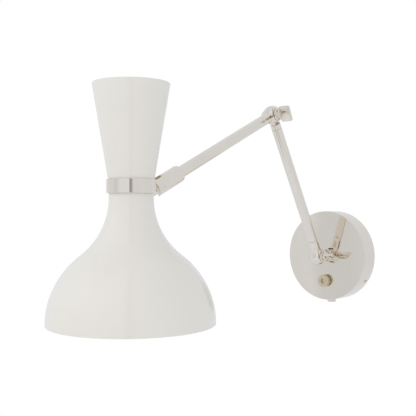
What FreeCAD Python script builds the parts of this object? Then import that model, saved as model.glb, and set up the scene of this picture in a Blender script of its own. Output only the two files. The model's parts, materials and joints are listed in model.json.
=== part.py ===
"""Swing arm wall sconce: a diabolo shade on two hinged arms and a round wall canopy.

Frame, millimetres: the wall is the plane y = 0 and the light stands out towards -y, z is up, and the
origin is the centre of the canopy's back. All hinge axes run along x, in the plane x = 0 of both arms.
"""
import FreeCAD, Part
import math
import os

import Sketcher

Vector = FreeCAD.Vector
Rotation = FreeCAD.Rotation
Placement = FreeCAD.Placement

X_AXIS = Vector(1, 0, 0)
Y_AXIS = Vector(0, 1, 0)
Z_AXIS = Vector(0, 0, 1)

DRIVING_SIZES = [
    ("canopy_dia", 120.0, "outside diameter of the canopy"),
    ("canopy_depth", 26.0, "how far the canopy's face stands from the wall"),
    ("canopy_wall", 1.2, "sheet thickness of the canopy"),
    ("plate_rim_depth", 14.0, "depth of the wall plate's rim"),
    ("plate_sheet", 1.6, "sheet thickness of the wall plate"),
    ("box_screw_spacing", 88.9, "distance between the junction box screws"),
    ("box_screw_slot", 12.0, "end to end length of a slot in the wall plate"),
    ("box_screw_width", 4.8, "width of a slot in the wall plate"),
    ("wire_opening_dia", 40.0, "wire opening in the wall plate"),
    ("side_screw_height", 8.5, "wall to the canopy's side screws"),
    ("thumb_screw_height", 11.0, "wall to the thumb screw under the canopy"),
    ("thumb_screw_dia", 11.4, "knurled head of the thumb screw"),
    ("switch_drop", 34.0, "switch axis below the canopy's centre"),
    ("switch_knob_dia", 16.4, "diameter of the switch knob"),
    ("switch_knob_height", 7.0, "canopy face to the knob's front"),
    ("switch_knob_gap", 2.2, "canopy face to the back of the knob's rim"),
    ("switch_knob_dish_dia", 6.8, "hollow in the knob's front"),
    ("switch_knob_dish_depth", 2.7, "depth of that hollow"),
    ("stem_reach", 19.2, "canopy face to the lower arm's hinge"),
    ("stem_bore", 15.0, "hole for the stem's bushing in the canopy"),
    ("stem_dia", 13.0, "diameter of the stem"),
    ("stem_spigot_dia", 12.0, "part of the stem that turns in the canopy"),
    ("lower_arm_length", 206.0, "hinge to hinge length of the lower arm"),
    ("upper_arm_length", 217.0, "hinge to hinge length of the upper arm"),
    ("lower_arm_lean", 29.3, "degrees that the lower arm leans out from the vertical"),
    ("upper_arm_drop", 25.2, "degrees that the upper arm falls below the horizontal"),
    ("tube_dia", 12.7, "outside diameter of the arm tubes"),
    ("tube_bore", 10.0, "inside diameter of the arm tubes"),
    ("ball_dia", 22.8, "diameter of the knuckle balls"),
    ("ball_width", 16.0, "distance between the two flats of a ball"),
    ("slot_width", 8.4, "width of the slot in a ball"),
    ("tongue_width", 7.0, "thickness of a knuckle tongue"),
    ("tongue_dia", 19.0, "round end of a knuckle tongue"),
    ("tongue_neck", 10.4, "height of the neck behind a tongue"),
    ("ball_neck", 25.0, "ball centre to the shoulder where the tube begins"),
    ("collar_start", 12.2, "tongue centre to its round collar"),
    ("collar_length", 6.0, "length of the collar on the lower arm"),
    ("collar_recess_dia", 11.0, "hollow in the mouth of that collar"),
    ("collar_recess_depth", 4.0, "depth of the hollow"),
    ("pocket_dia", 20.0, "round pocket for a tongue inside a ball"),
    ("screw_dia", 5.0, "shank of the clamping screws"),
    ("fit_gap", 0.05, "radial clearance of a running fit"),
    ("paddle_length", 15.8, "paddle of a clamping screw, along the screw"),
    ("paddle_width", 19.6, "paddle of a clamping screw, across the screw"),
    ("paddle_thick", 2.6, "thickness of the paddle"),
    ("flange_dia", 15.2, "round flange under the paddle"),
    ("sleeve_dia", 18.6, "outside diameter of the sleeve at the shade"),
    ("sleeve_back", 34.5, "shade hinge to the sleeve's rounded shoulder"),
    ("sleeve_front", 6.0, "shade hinge to the sleeve's slotted end"),
    ("sleeve_slot", 7.6, "width of the sleeve's slot"),
    ("sleeve_slot_back", 8.4, "shade hinge to the round end of the slot"),
    ("sleeve_web_back", 14.0, "shade hinge to the end of the sleeve's bore"),
    ("sleeve_screw_back", 24.0, "shade hinge to the sleeve's retaining screw"),
    ("hinge_pin_dia", 4.0, "diameter of the shade's hinge pin"),
    ("shade_tongue_width", 7.2, "thickness of the shade's tongue"),
    ("shade_tongue_dia", 11.0, "round end of the shade's tongue"),
    ("shade_offset", 36.0, "shade hinge to the shade's axis"),
    ("band_dia", 49.5, "outside diameter of the band around the waist"),
    ("band_bore", 46.6, "inside diameter of the band"),
    ("band_height", 14.0, "height of the band"),
    ("shade_sheet", 1.2, "sheet thickness of the shade"),
    ("cone_top_dia", 78.2, "upper shade, outside diameter at its rim"),
    ("cone_foot_dia", 44.4, "upper shade, outside diameter at its foot"),
    ("cone_rise", 102.3, "waist to the upper rim"),
    ("bell_neck_dia", 45.0, "lower shade, outside diameter at its neck"),
    ("bell_neck_drop", 11.9, "waist to where the neck begins to flare"),
    ("bell_flare_radius", 71.8, "hollow arc of the bell's neck"),
    ("bell_flare_turn", 52.6, "degrees that the hollow arc turns"),
    ("bell_shoulder_radius", 88.3, "upper arc of the bell's crown"),
    ("bell_shoulder_turn", 21.0, "degrees from the vertical where the shoulder arc ends"),
    ("bell_side_radius", 77.5, "last arc, down to the rim"),
    ("bell_drop", 137.3, "waist to the lower rim"),
    ("fixing_screw_rise", 4.6, "band's screws above and below the waist"),
    ("plate_screw_radius", 19.0, "waist plate's screws from the shade's axis"),
    ("waist_plate_thick", 2.0, "plate that carries both lampholders"),
    ("nipple_dia", 10.0, "hollow threaded pipe between the lampholders"),
]

# Angles, in degrees. Travel is measured from the pose in which the lamp is drawn.
SIDE_SCREW_ANGLES = (-33, -147)
THUMB_SCREW_ANGLE = -90
PLATE_SCREW_ANGLES = (30, 150, 270)
BASE_TRAVEL = (-29, 60)
ELBOW_TRAVEL = (-80, 32)
PADDLE_TURNS = {"base": 70, "elbow": 24}
WIRE_SLOT_TURN = 12

# Small clearances, in millimetres.
SWEEP_GAP = 0.4
PLUG_GAP = 0.03


class Measure:
    """A number together with the spreadsheet expression that it comes from."""

    def __init__(self, value, text):
        self.value = value
        self.text = text

    def joined(self, other, sign, value):
        right = other.text if isinstance(other, Measure) else repr(float(other))
        return Measure(value, "(%s %s %s)" % (self.text, sign, right))

    def __float__(self):
        return self.value

    def __add__(self, other):
        return self.joined(other, "+", self.value + float(other))

    def __sub__(self, other):
        return self.joined(other, "-", self.value - float(other))

    def __mul__(self, other):
        return self.joined(other, "*", self.value * float(other))

    def __truediv__(self, other):
        return self.joined(other, "/", self.value / float(other))

    def __radd__(self, other):
        return self + other

    def __neg__(self):
        return Measure(-self.value, "(-1 * %s)" % self.text)


class Sizes:
    """The driving dimensions, each one an attribute that is bound to its cell."""

    def __init__(self, document):
        sheet = document.addObject("Spreadsheet::Sheet", "Sizes")
        for row, (alias, value, words) in enumerate(DRIVING_SIZES, start=1):
            sheet.set("A%d" % row, words)
            sheet.set("B%d" % row, repr(value))
            sheet.setAlias("B%d" % row, alias)
        document.recompute()
        for alias, _, _ in DRIVING_SIZES:
            setattr(self, alias, Measure(float(sheet.get(alias)), "Sizes.%s" % alias))


doc = FreeCAD.newDocument("swing_arm_sconce")
S = Sizes(doc)
nodes = []

# Places that follow from the driving dimensions.
base_hinge = Vector(0, -float(S.canopy_depth + S.stem_reach), 0)
lower_turn = float(S.lower_arm_lean)
upper_turn = 90 + float(S.upper_arm_drop)


def along_arm(start, turn, distance):
    """The point at a distance along an arm that is turned about x from straight up."""
    angle = math.radians(turn)
    return start + Vector(0, -math.sin(angle), math.cos(angle)) * distance


elbow_hinge = along_arm(base_hinge, lower_turn, float(S.lower_arm_length))
shade_hinge = along_arm(elbow_hinge, upper_turn, float(S.upper_arm_length))
waist = Vector(0, shade_hinge.y - float(S.shade_offset), shade_hinge.z)

WALL_FRAME = Placement(Vector(0, 0, 0), Rotation(X_AXIS, 90))
STEM_FRAME = Placement(base_hinge, Rotation(X_AXIS, -90))
LOWER_ARM_FRAME = Placement(base_hinge, Rotation(X_AXIS, lower_turn))
LOWER_ARM_TOP_FRAME = Placement(elbow_hinge, Rotation(X_AXIS, lower_turn + 180))
UPPER_ARM_FRAME = Placement(elbow_hinge, Rotation(X_AXIS, upper_turn))
SLEEVE_FRAME = Placement(shade_hinge, Rotation(X_AXIS, upper_turn))
WAIST_FRAME = Placement(waist, Rotation())

TURN_ALONG = {"x": Rotation(Y_AXIS, 90), "y": Rotation(X_AXIS, -90), "z": Rotation()}


def bind(thing, prop, value):
    """Set a property, by its expression when the value comes from the sheet."""
    if isinstance(value, Measure):
        setattr(thing, prop, value.value)
        thing.setExpression(prop, value.text)
    else:
        setattr(thing, prop, value)


def cylinder(radius, length, start=(0, 0, 0), along="z"):
    """A cylinder that begins at a point and runs along one local axis."""
    rod = doc.addObject("Part::Cylinder", "Rod")
    bind(rod, "Radius", radius)
    bind(rod, "Height", length)
    rod.Placement = Placement(Vector(*[float(v) for v in start]), TURN_ALONG[along])
    return rod


def block(size_x, size_y, size_z, centre=(0, 0, 0)):
    """A box about a centre point."""
    box = doc.addObject("Part::Box", "Block")
    for prop, value in (("Length", size_x), ("Width", size_y), ("Height", size_z)):
        bind(box, prop, value)
    half = Vector(float(size_x), float(size_y), float(size_z)) * 0.5
    box.Placement = Placement(Vector(*[float(v) for v in centre]) - half, Rotation())
    return box


def ball(radius):
    sphere = doc.addObject("Part::Sphere", "Ball")
    bind(sphere, "Radius", radius)
    return sphere


def hexagon(across_flats, length, start=(0, 0, 0), along="z"):
    """A hexagonal prism, sized across its flats."""
    prism = doc.addObject("Part::Prism", "Hexagon")
    prism.Polygon = 6
    bind(prism, "Circumradius", across_flats / math.sqrt(3))
    bind(prism, "Height", length)
    prism.Placement = Placement(Vector(*[float(v) for v in start]), TURN_ALONG[along])
    return prism


def cut(base, *tools):
    for tool in tools:
        result = doc.addObject("Part::Cut", "Cut")
        result.Base = base
        result.Tool = tool
        base = result
    return base


def fuse(*pieces):
    result = doc.addObject("Part::MultiFuse", "Fuse")
    result.Shapes = list(pieces)
    result.Refine = True
    return result


def common(*pieces):
    result = doc.addObject("Part::MultiCommon", "Common")
    result.Shapes = list(pieces)
    return result


def group(*pieces):
    """Identical loose pieces that share one node."""
    result = doc.addObject("Part::Compound", "Group")
    result.Links = list(pieces)
    return result


def moved(thing, placement):
    thing.Placement = placement.multiply(thing.Placement)
    return thing


def node(name, thing, frame=Placement()):
    """Name a finished sub-part and put it in its place."""
    thing.Label = name
    thing.Placement = frame.multiply(thing.Placement)
    nodes.append(thing)
    return thing


def origin_plane(body, role):
    return [feature for feature in body.Origin.OriginFeatures if feature.Role == role][0]


def fix_point(sketch, geometry, end, point):
    """Hold one sketch point at coordinates that are bound to the sheet."""
    for kind, axis, value in (("DistanceX", -2, point[0]), ("DistanceY", -1, point[1])):
        if abs(float(value)) < 1e-9:
            sketch.addConstraint(Sketcher.Constraint("PointOnObject", geometry, end, axis))
            continue
        index = sketch.addConstraint(Sketcher.Constraint(kind, -1, 1, geometry, end, float(value)))
        if isinstance(value, Measure):
            sketch.setExpression("Constraints[%d]" % index, value.text)


def outline(body, role, corners):
    """A closed sketch of straight runs through corners given as (x, y) measures."""
    sketch = body.newObject("Sketcher::SketchObject", "Outline")
    sketch.AttachmentSupport = [(origin_plane(body, role), "")]
    sketch.MapMode = "FlatFace"
    places = [Vector(float(x), float(y), 0) for x, y in corners]
    count = len(places)
    for index in range(count):
        sketch.addGeometry(Part.LineSegment(places[index], places[(index + 1) % count]), False)
    for index in range(count):
        sketch.addConstraint(Sketcher.Constraint("Coincident", index, 2, (index + 1) % count, 1))
        fix_point(sketch, index, 1, corners[index])
    return sketch


def turned(corners):
    """A body turned about its local z axis from an outline of (radius, height) corners."""
    body = doc.addObject("PartDesign::Body", "Turned")
    sketch = outline(body, "XZ_Plane", corners)
    turn = body.newObject("PartDesign::Revolution", "Turn")
    turn.Profile = sketch
    turn.ReferenceAxis = (sketch, ["V_Axis"])
    turn.Angle = 360
    doc.recompute()
    return body


def padded(role, corners, length):
    """A body padded both ways from an outline in one of its origin planes."""
    body = doc.addObject("PartDesign::Body", "Padded")
    sketch = outline(body, role, corners)
    pad = body.newObject("PartDesign::Pad", "Pad")
    pad.Profile = sketch
    pad.Midplane = True
    bind(pad, "Length", length)
    doc.recompute()
    return body


def rounded(body, radius, wanted):
    """Fillet the edges of a body's tip that a test picks out."""
    tip = body.Tip
    edges = [i for i, edge in enumerate(tip.Shape.Edges, start=1) if wanted(edge)]
    fillet = body.newObject("PartDesign::Fillet", "Rounding")
    fillet.Base = (tip, ["Edge%d" % i for i in edges])
    fillet.Radius = radius
    doc.recompute()
    return body


def bevelled(body, size, wanted):
    """Chamfer the edges of a body's tip that a test picks out."""
    tip = body.Tip
    edges = [i for i, edge in enumerate(tip.Shape.Edges, start=1) if wanted(edge)]
    bevel = body.newObject("PartDesign::Chamfer", "Bevel")
    bevel.Base = (tip, ["Edge%d" % i for i in edges])
    bevel.Size = size
    doc.recompute()
    return body


def circle_at(height, radius):
    """A test for the circular edge of a turned body at a height and radius."""
    def wanted(edge):
        curve = edge.Curve
        if not isinstance(curve, Part.Circle):
            return False
        return abs(curve.Center.z - float(height)) < 1e-4 and abs(curve.Radius - float(radius)) < 1e-4
    return wanted


def tube(outer, inner, length, start=(0, 0, 0), along="z"):
    """A straight tube; inner and outer are radii."""
    return cut(cylinder(outer, length, start, along), cylinder(inner, length, start, along))


def washer(name, outer, inner, thick, start, along, frame):
    return node(name, tube(outer, inner, thick, start, along), frame)


# ---------------------------------------------------------------- canopy and wall plate

def radial(angle, radius, height, length, start_radius):
    """A rod that points outwards from the canopy's axis, in the wall frame."""
    rod = cylinder(radius, length, (start_radius, 0, 0), "x")
    return moved(rod, Placement(Vector(0, 0, height), Rotation(Z_AXIS, angle)))


def side_holes(radius, start_radius):
    """Holes through a canopy wall for the two side screws and the thumb screw."""
    height = float(S.side_screw_height)
    holes = [radial(angle, radius, height, 8.0, start_radius) for angle in SIDE_SCREW_ANGLES]
    holes.append(radial(THUMB_SCREW_ANGLE, radius, float(S.thumb_screw_height), 8.0, start_radius))
    return holes


def canopy_shell():
    """Spun cup with a sharp front edge, open to the wall; local z stands out from the wall."""
    radius = S.canopy_dia / 2
    inside = radius - S.canopy_wall
    face = S.canopy_depth - S.canopy_wall
    corners = [(0.0, face), (inside, face), (inside, 0.0), (radius, 0.0), (radius, S.canopy_depth),
               (0.0, S.canopy_depth)]
    cup = bevelled(turned(corners), 0.5, circle_at(S.canopy_depth, radius))
    holes = [cylinder(S.stem_bore / 2, 10.0, (0, 0, face - 4)),
             cylinder(5.1, 10.0, (0, -S.switch_drop, face - 4))]
    holes += side_holes(2.1, float(radius) - 5)
    return node("canopy_shell", cut(cup, *holes), WALL_FRAME)


def wall_plate():
    """Round steel pan behind the canopy, with slots for the junction box screws."""
    outer = S.canopy_dia / 2 - S.canopy_wall - 0.4
    inner = outer - S.plate_sheet
    corners = [(S.wire_opening_dia / 2, 0.0), (outer, 0.0), (outer, S.plate_rim_depth),
               (inner, S.plate_rim_depth), (inner, S.plate_sheet), (S.wire_opening_dia / 2, S.plate_sheet)]
    pan = turned(corners)
    tools = []
    half_run = (S.box_screw_slot - S.box_screw_width) / 2
    for side in (-1, 1):
        centre = side * float(S.box_screw_spacing) / 2
        tools.append(block(half_run * 2, S.box_screw_width, 6.0, (centre, 0, 0)))
        for end in (-1, 1):
            tools.append(cylinder(S.box_screw_width / 2, 6.0, (centre + end * float(half_run), 0, -3)))
    tools += side_holes(1.7, 52.0)
    tools.append(cylinder(2.0, 6.0, (-30.0, 30.0, -3.0)))
    return node("wall_plate", cut(pan, *tools), WALL_FRAME)


def ground_screw():
    """Hexagon headed earth screw in the wall plate."""
    screw = fuse(cylinder(1.9, 5.0, (-30.0, 30.0, 0.2)), hexagon(8.0, 2.6, (-30.0, 30.0, 1.6)))
    return node("ground_screw", screw, WALL_FRAME)


def canopy_side_screws():
    """Two short socket screws that hold the canopy's side to the wall plate."""
    start = 54.0
    length = float(S.canopy_dia) / 2 - 0.4 - start
    height = float(S.side_screw_height)
    screws = []
    for angle in SIDE_SCREW_ANGLES:
        body = radial(angle, 1.6, height, length, start)
        socket = radial(angle, 0.8, height, 2.0, start + length - 1.6)
        screws.append(cut(body, socket))
    return node("canopy_side_screws", group(*screws), WALL_FRAME)


def canopy_thumb_screw():
    """Knurled screw under the canopy; local z is the screw's axis, pointing down and away."""
    radius = S.thumb_screw_dia / 2
    top = 3.9
    head = turned([(0.0, 0.2), (radius, 0.2), (radius, top), (0.0, top)])
    head = bevelled(head, 0.5, circle_at(top, radius))
    shank = cylinder(1.65, 8.2, (0, 0, -8.0))
    grooves = []
    count = 28
    for index in range(count):
        groove = cylinder(0.32, 6.0, (float(radius) + 0.1, 0, -1.0))
        grooves.append(moved(groove, Placement(Vector(), Rotation(Z_AXIS, 360 * index / count))))
    knurl = doc.addObject("Part::MultiFuse", "Knurl")
    knurl.Shapes = grooves
    screw = fuse(cut(head, knurl), shank)
    rim = Vector(0, -float(S.thumb_screw_height), -float(S.canopy_dia) / 2)
    place = Placement(rim, Rotation(X_AXIS, 180))
    return node("canopy_thumb_screw", screw, place)


# ---------------------------------------------------------------- rotary switch

def switch():
    """Rotary switch: housing, threaded collar and ring nut stay, shaft and knob turn."""
    face = float(S.canopy_depth)
    drop = -float(S.switch_drop)
    inside = face - float(S.canopy_wall)
    housing = block(19.0, 19.0, 13.0, (0, drop, inside - 1.0 - 6.5))
    housing = cut(housing, cylinder(2.0, 9.0, (0, drop, inside - 9.0)))
    node("switch_housing", housing, WALL_FRAME)
    collar = fuse(tube(5.0, 2.6, 3.2, (0, drop, inside - 1.0)), tube(7.0, 2.6, 1.0, (0, drop, inside - 1.0)))
    node("switch_collar", collar, WALL_FRAME)
    ring = tube(6.4, 5.05, 1.0, (0, drop, face))
    node("switch_ring_nut", ring, WALL_FRAME)
    shaft = fuse(cylinder(1.9, 6.6, (0, drop, inside - 7.6)), cylinder(2.5, 5.5, (0, drop, inside - 1.0)))
    node("switch_shaft", shaft, WALL_FRAME)
    radius = S.switch_knob_dia / 2
    height = S.switch_knob_height
    gap = S.switch_knob_gap
    dish = S.switch_knob_dish_dia / 2
    floor = height - S.switch_knob_dish_depth
    corners = [(0.0, 3.6), (2.55, 3.6), (2.55, 1.1), (4.6, 1.1), (4.6, gap), (radius, gap),
               (radius, height - 0.7), (radius - 0.7, height), (dish, height), (dish, floor), (0.0, floor)]
    knob = moved(turned(corners), Placement(Vector(0, drop, face), Rotation()))
    node("switch_knob", knob, WALL_FRAME)


# ---------------------------------------------------------------- stem

def stem():
    """Post with a tongue at the hinge; its spigot turns in a bushing in the canopy."""
    reach = float(S.stem_reach)
    wall = float(S.canopy_wall)
    post = fuse(knuckle_tongue(),
                cylinder(S.stem_dia / 2, S.stem_reach - S.collar_start - 2.7, (0, 0, S.collar_start)),
                cylinder(9.0, 2.5, (0, 0, reach - 2.7)),
                cylinder(S.stem_spigot_dia / 2, 13.2, (0, 0, reach - 0.2)))
    post = cut(post, cylinder(3.0, 30.0, (0, 0, float(S.collar_start))), hinge_hole())
    node("stem_post", post, STEM_FRAME)
    bushing = fuse(cylinder(S.stem_bore / 2, wall, (0, 0, reach)), cylinder(11.0, 2.0, (0, 0, reach + wall)))
    bushing = cut(bushing, cylinder(S.stem_spigot_dia / 2 + S.fit_gap, 6.0, (0, 0, reach - 1)))
    node("stem_bushing", bushing, STEM_FRAME)
    washer("stem_spring_washer", 9.5, 6.05, 0.8, (0, 0, reach + wall + 2.1), "z", STEM_FRAME)
    nut_start = reach + wall + 3.0
    nut = cut(hexagon(17.0, 4.5, (0, 0, nut_start)),
              cylinder(6.02, 6.0, (0, 0, nut_start - 0.5)))
    node("stem_nut", nut, STEM_FRAME)


# ---------------------------------------------------------------- knuckles

def hinge_hole():
    """The running hole for a clamping screw, along x through a knuckle."""
    width = S.ball_width * 2
    return cylinder(S.screw_dia / 2 + S.fit_gap, width, (-width.value / 2, 0, 0), "x")


def knuckle_tongue():
    """Flat tongue with a round end about the hinge and a neck along local z."""
    width = S.tongue_width
    eye = cylinder(S.tongue_dia / 2, width, (-width.value / 2, 0, 0), "x")
    neck = block(width, S.tongue_neck, S.collar_start + 0.5, (0, 0, float(S.collar_start + 0.5) / 2))
    return fuse(eye, neck)


def heading(angle):
    """Unit vector in a knuckle's yz plane, at an angle about x from local z."""
    turn = math.radians(angle)
    return Vector(-math.sin(turn), math.cos(turn), 0)


def neck_sweep(rest, travel):
    """The space that the other arm's neck sweeps through a ball, as a wedge with parallel flanks.

    The neck stands at the rest angle from this arm, and falls behind as this arm turns forward.
    """
    first = rest - travel[1]
    last = rest - travel[0]
    side = float(S.tongue_neck) / 2 + SWEEP_GAP
    reach = float(S.ball_dia)
    near = heading(first - 90) * side
    far = heading(last + 90) * side
    places = [near, near + heading(first) * reach, heading((first + last) / 2) * reach * 1.5,
              far + heading(last) * reach, far]
    return padded("YZ_Plane", [(place.x, place.y) for place in places], S.slot_width)


def wire_slot():
    """Slot in a knuckle's neck that opens into its wire channel, a little round from the flat."""
    start = 9.0
    length = float(S.ball_neck) - 3.5 - start
    slot = block(5.5, 2.4, length, (5.25, 0, start + length / 2))
    return moved(slot, Placement(Vector(), Rotation(Z_AXIS, WIRE_SLOT_TURN)))


def knuckle_ball(name, frame, rest, travel):
    """Ball with two flats, open to the other arm's tongue as far as it travels, on a neck for a tube."""
    sphere = common(ball(S.ball_dia / 2), block(S.ball_width, S.ball_dia * 2, S.ball_dia * 2))
    neck = cylinder(S.tube_dia / 2, S.ball_neck)
    plug = cylinder(S.tube_bore / 2 - PLUG_GAP, S.ball_neck + 12.0)
    pocket = cylinder(S.pocket_dia / 2, S.slot_width, (-S.slot_width.value / 2, 0, 0), "x")
    wire_hole = cylinder(3.0, 60.0, (0, 0, 2.0))
    solid = cut(fuse(sphere, neck, plug), pocket, neck_sweep(rest, travel), wire_hole, wire_slot(),
                hinge_hole())
    return node(name, solid, frame)


def clamping_screw(name, turn, centre):
    """Screw with a round flange and a flat paddle; local x is the screw's axis."""
    seat = float(S.ball_width) / 2 + 0.3
    rim = S.flange_dia / 2
    flange = bevelled(turned([(0.0, 0.0), (rim, 0.0), (rim, 2.3), (0.0, 2.3)]), 0.6, circle_at(2.3, rim))
    flange = moved(flange, Placement(Vector(seat, 0, 0), TURN_ALONG["x"]))
    root = seat + 3.9
    far = S.paddle_length + root
    half = S.paddle_width / 2
    corners = [(root, -half), (far, -half), (far, half), (root, half)]
    paddle = padded("XZ_Plane", corners, S.paddle_thick)
    upright = [edge for edge in paddle.Tip.Shape.Edges if abs(edge.tangentAt(edge.FirstParameter).y) > 0.9]
    keys = [edge.CenterOfMass for edge in upright]
    paddle = rounded(paddle, 2.0, lambda edge: any((edge.CenterOfMass - key).Length < 1e-4 for key in keys))
    flats = float(S.paddle_thick) / 2 - 1e-4
    paddle = rounded(paddle, 0.7, lambda edge: abs(edge.CenterOfMass.y) > flats)
    neck = cylinder(3.6, 5.0, (seat + 0.5, 0, 0), "x")
    shank_end = float(S.ball_width) / 2 + 5.0
    shank = cylinder(S.screw_dia / 2, shank_end + seat + 0.1, (-shank_end, 0, 0), "x")
    screw = fuse(flange, paddle, neck, shank)
    return node(name, screw, Placement(centre, Rotation(X_AXIS, turn)))


def cap_nut(name, frame):
    """Hexagon cap nut on the far flat of a knuckle ball."""
    seat = float(S.ball_width) / 2 + 0.1
    dome = rounded(turned([(0.0, 0.0), (5.2, 0.0), (5.2, 3.4), (0.0, 3.4)]), 2.6, circle_at(3.4, 5.2))
    dome = moved(dome, Placement(Vector(-seat - 3.2, 0, 0), Rotation(Y_AXIS, -90)))
    nut = fuse(hexagon(11.0, 3.6, (-seat - 3.6, 0, 0), "x"), dome)
    thread = cylinder(S.screw_dia / 2 + S.fit_gap, 6.0, (-seat - 5.2, 0, 0), "x")
    return node(name, cut(nut, thread), frame)


def friction_washers(name, frame):
    """Two thin washers that line a ball's slot."""
    inner_face = float(S.slot_width) / 2
    thick = inner_face - float(S.tongue_width) / 2 - 0.1
    pair = []
    for start in (-inner_face, inner_face - thick):
        pair.append(tube(8.6, 2.7, thick, (start, 0, 0), "x"))
    return node(name, group(*pair), frame)


def arm_tube(name, start, end, frame, groove=None):
    """Straight arm tube between two distances along its arm."""
    solid = tube(S.tube_dia / 2, S.tube_bore / 2, end - start, (0, 0, float(start)))
    if groove:
        solid = cut(solid, tube(8.0, float(S.tube_dia) / 2 - 0.7, 3.6, (0, 0, groove - 1.8)))
    return node(name, solid, frame)


def lower_arm():
    knuckle_ball("lower_arm_base_knuckle", LOWER_ARM_FRAME, -90 - lower_turn, BASE_TRAVEL)
    friction_washers("base_friction_washers", LOWER_ARM_FRAME)
    cap_nut("base_cap_nut", LOWER_ARM_FRAME)
    shoulder = S.collar_start + S.collar_length
    arm_tube("lower_arm_tube", S.ball_neck, S.lower_arm_length - shoulder, LOWER_ARM_FRAME)
    collar = cut(cylinder(S.tube_dia / 2, S.collar_length, (0, 0, S.collar_start)),
                 cylinder(S.collar_recess_dia / 2, S.collar_recess_depth, (0, 0, S.collar_start)))
    root_length = S.collar_recess_depth + 0.5
    root_middle = float(S.collar_start + root_length / 2)
    root = common(block(S.tongue_width, S.tongue_neck, root_length, (0, 0, root_middle)),
                  cylinder(S.tube_dia / 2 - 0.3, S.collar_length, (0, 0, S.collar_start)))
    plug = cylinder(S.tube_bore / 2 - PLUG_GAP, S.collar_length + 4.0, (0, 0, float(shoulder) - 1.0))
    tongue = cut(fuse(knuckle_tongue(), collar, root, plug), hinge_hole())
    node("lower_arm_elbow_tongue", tongue, LOWER_ARM_TOP_FRAME)


def upper_arm():
    knuckle_ball("upper_arm_elbow_knuckle", UPPER_ARM_FRAME, lower_turn + 180 - upper_turn, ELBOW_TRAVEL)
    friction_washers("elbow_friction_washers", UPPER_ARM_FRAME)
    cap_nut("elbow_cap_nut", UPPER_ARM_FRAME)
    length = float(S.upper_arm_length)
    end = S.upper_arm_length - 14.6
    arm_tube("upper_arm_tube", S.ball_neck, end, UPPER_ARM_FRAME, groove=length - float(S.sleeve_screw_back))


# ---------------------------------------------------------------- sleeve at the shade

def sleeve():
    """Round sleeve that turns on the upper arm, with a slot for the shade's tongue."""
    radius = S.sleeve_dia / 2
    corners = [(0.0, -S.sleeve_back), (radius, -S.sleeve_back),
               (radius, S.sleeve_front), (0.0, S.sleeve_front)]
    body = rounded(turned(corners), 3.4, circle_at(-S.sleeve_back.value, radius))
    body = bevelled(body, 0.3, circle_at(S.sleeve_front, radius))
    bore = cylinder(S.tube_dia / 2 + S.fit_gap, S.sleeve_back - S.sleeve_web_back + 1.0,
                    (0, 0, -S.sleeve_back.value - 1.0))
    wire_hole = cylinder(3.0, 20.0, (0, 0, -20.0))
    half = float(S.sleeve_slot) / 2
    slot_round = half - float(S.sleeve_slot_back)
    slot_length = float(S.sleeve_front) + 1.0 - slot_round
    slot = fuse(block(S.sleeve_slot, 24.0, slot_length, (0, 0, slot_round + slot_length / 2)),
                cylinder(S.sleeve_slot / 2, 24.0, (0, -12, slot_round), "y"))
    pin_hole = cylinder(S.hinge_pin_dia / 2 + 0.02, 24.0, (-12, 0, 0), "x")
    screw_place = -float(S.sleeve_screw_back)
    screw_hole = cylinder(1.62, 12.0, (0, -14, screw_place), "y")
    node("shade_sleeve", cut(body, bore, wire_hole, slot, pin_hole, screw_hole), SLEEVE_FRAME)
    pin_half = float(radius) - 0.25
    node("shade_hinge_pin", cylinder(S.hinge_pin_dia / 2, 2 * pin_half, (-pin_half, 0, 0), "x"), SLEEVE_FRAME)
    tip = float(S.tube_dia) / 2 - 0.6
    screw = cut(cylinder(1.6, float(radius) - 0.2 - tip, (0, -float(radius) + 0.2, screw_place), "y"),
                cylinder(0.8, 1.4, (0, -float(radius), screw_place), "y"))
    node("sleeve_retaining_screw", screw, SLEEVE_FRAME)


# ---------------------------------------------------------------- shade

def fixing_rises():
    rise = float(S.fixing_screw_rise)
    return (-rise, rise)


def fixing_holes(radius):
    """Two holes through the waist on the arm's side, in the waist frame."""
    return [cylinder(radius, 14.0, (0, 16.0, rise), "y") for rise in fixing_rises()]


def shade_tongue():
    """Tongue on the band that hangs the shade from the sleeve's hinge pin."""
    offset = float(S.shade_offset)
    width = S.shade_tongue_width
    eye = cylinder(S.shade_tongue_dia / 2, width, (-width.value / 2, offset, 0), "x")
    start = float(S.band_dia) / 2 - 1.0
    bar = block(width, offset - start, S.shade_tongue_dia, (0, (offset + start) / 2, 0))
    foot = block(width, 5.0, S.band_height - 0.4, (0, start + 2.5, 0))
    pin_hole = cylinder(S.hinge_pin_dia / 2 + S.fit_gap, 20.0, (-10, offset, 0), "x")
    band_space = cylinder(S.band_dia / 2, 40.0, (0, 0, -20))
    node("shade_tongue", cut(fuse(eye, bar, foot), pin_hole, band_space, *tapped_holes()), WAIST_FRAME)


def tapped_holes():
    return [cylinder(1.52, 14.0, (0, 16.5, rise), "y") for rise in fixing_rises()]


def shade_band():
    """Polished ring around the waist, over the meeting edges of both shades."""
    half = S.band_height / 2
    outer = S.band_dia / 2
    inner = S.band_bore / 2
    ring = turned([(inner, -half), (outer, -half), (outer, half), (inner, half)])
    ring = bevelled(ring, 0.35, lambda edge: circle_at(half, outer)(edge) or circle_at(-half, outer)(edge))
    node("shade_band", cut(ring, *fixing_holes(1.6)), WAIST_FRAME)


def shade_fixing_screws():
    """Two round headed screws from inside the waist into the tongue."""
    screws = []
    for rise in fixing_rises():
        shank = cylinder(1.5, 10.0, (0, 20.4, rise), "y")
        head = cylinder(2.0, 1.6, (0, 18.9, rise), "y")
        screws.append(fuse(shank, head))
    node("shade_fixing_screws", group(*screws), WAIST_FRAME)


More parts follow.
